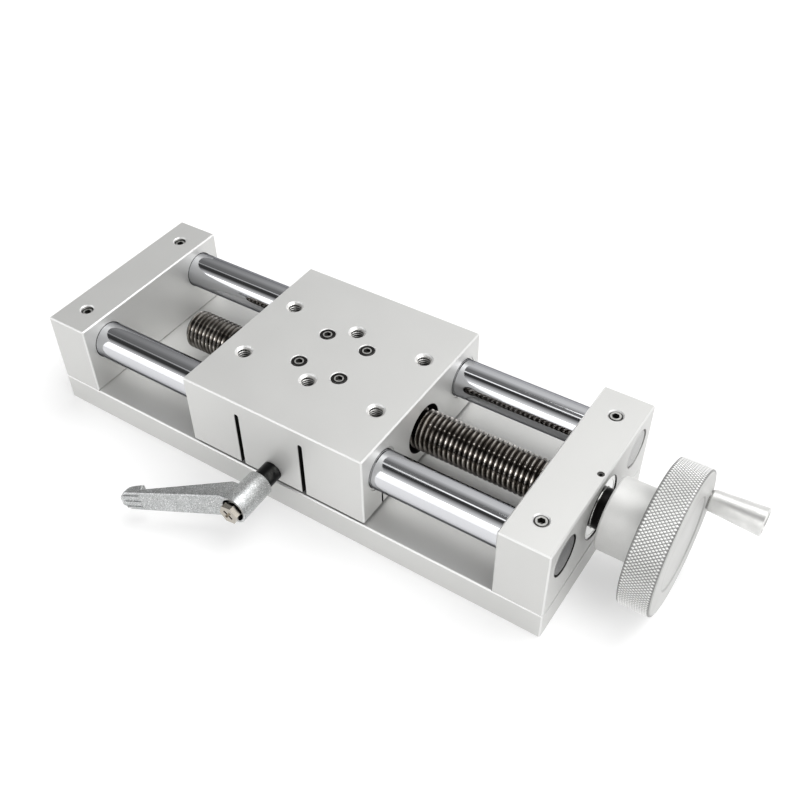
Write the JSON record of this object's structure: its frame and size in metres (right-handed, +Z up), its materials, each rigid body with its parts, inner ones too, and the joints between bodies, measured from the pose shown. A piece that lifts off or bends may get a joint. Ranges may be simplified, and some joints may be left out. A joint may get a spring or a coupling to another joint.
{
  "type": "lead screw slide table",
  "caption": "Manual slide table: a carriage on two guide rods, driven along a base plate by a lead screw with a knurled handwheel, and locked by a side clamp lever.",
  "frame": {"origin": "centre of the base plate's underside", "axes": "+X along the carriage's travel, towards the handwheel; +Y towards the back, away from the clamp lever; +Z up, out of the table's top"},
  "size_m": [0.27, 0.1174, 0.0536],
  "materials": {
    "anodised_aluminium": "satin clear anodised, milled",
    "turned_aluminium": "satin clear anodised, turned, rim knurled",
    "polished_handle": "polished",
    "chromed_rod": "ground and hard chromed",
    "screw_steel": "rolled, lightly oiled",
    "black_steel": "black oxide",
    "bearing_steel": "ground",
    "cage_plastic": "moulded",
    "bronze": "machined bronze",
    "bushing_steel": "tin-plated steel back",
    "cast_zinc": "silver textured powder coat on die-cast zinc",
    "nickel_plated": "nickel plated"
  },
  "bodies": {
    "base": {"base_plate": "anodised_aluminium", "left_end_block": "anodised_aluminium", "right_end_block": "anodised_aluminium", "front_guide_rod": "chromed_rod", "back_guide_rod": "chromed_rod", "block_screws": "black_steel", "left_rod_grub_screws": "black_steel", "right_rod_grub_screws": "black_steel", "bearing_lock_screw": "black_steel", "bearing_outer_rings": "bearing_steel", "bearing_shields": "bearing_steel"},
    "screw": {"lead_screw": "screw_steel", "bearing_inner_rings": "bearing_steel", "spacer_collar": "black_steel", "handwheel": "turned_aluminium", "wheel_grub_screws": "black_steel", "crank_axle": "black_steel"},
    "balls": {"bearing_balls": "bearing_steel", "bearing_cages": "cage_plastic"},
    "grip": {"crank_grip": "polished_handle"},
    "carriage": {"carriage_block": "anodised_aluminium", "lead_nut": "bronze", "nut_screws": "black_steel", "front_rod_bushings": "bushing_steel", "back_rod_bushings": "bushing_steel"},
    "stud": {"clamp_stud": "black_steel", "lever_screw": "nickel_plated", "lever_spring": "nickel_plated"},
    "lever": {"clamp_lever": "cast_zinc"}
  },
  "joints": [
    {"name": "screw_turn", "type": "hinge", "parent": "base", "child": "screw", "pos_m": [0.12, 0, 0.0275], "axis": [1, 0, 0], "range_deg": [-9000, 9180]},
    {"name": "carriage_slide", "type": "slide", "parent": "base", "child": "carriage", "axis": [1, 0, 0], "range_m": [-0.0515, 0.0505]},
    {"name": "balls_turn", "type": "hinge", "parent": "base", "child": "balls", "pos_m": [0.1047, 0, 0.0275], "axis": [1, 0, 0], "range_deg": [-3713, 3787]},
    {"name": "grip_spin", "type": "hinge", "parent": "screw", "child": "grip", "pos_m": [0.15, 0.02218, 0.02847], "axis": [1, 0, 0], "continuous": true},
    {"name": "clamp_turn", "type": "hinge", "parent": "carriage", "child": "stud", "pos_m": [-0.0001, -0.045, 0.0178], "axis": [0, 1, 0], "range_deg": [-6, 190]},
    {"name": "lever_lift", "type": "slide", "parent": "stud", "child": "lever", "axis": [0, -1, 0], "range_m": [0, 0.0035], "stiffness_N_per_m": 800, "springref_m": -0.004, "deforming": ["lever_spring"]}
  ],
  "couplings": [
    {"joint": "carriage_slide", "follows": "screw_turn", "m_per_rad": -0.00031831},
    {"joint": "balls_turn", "follows": "screw_turn", "ratio": 0.41181}
  ]
}
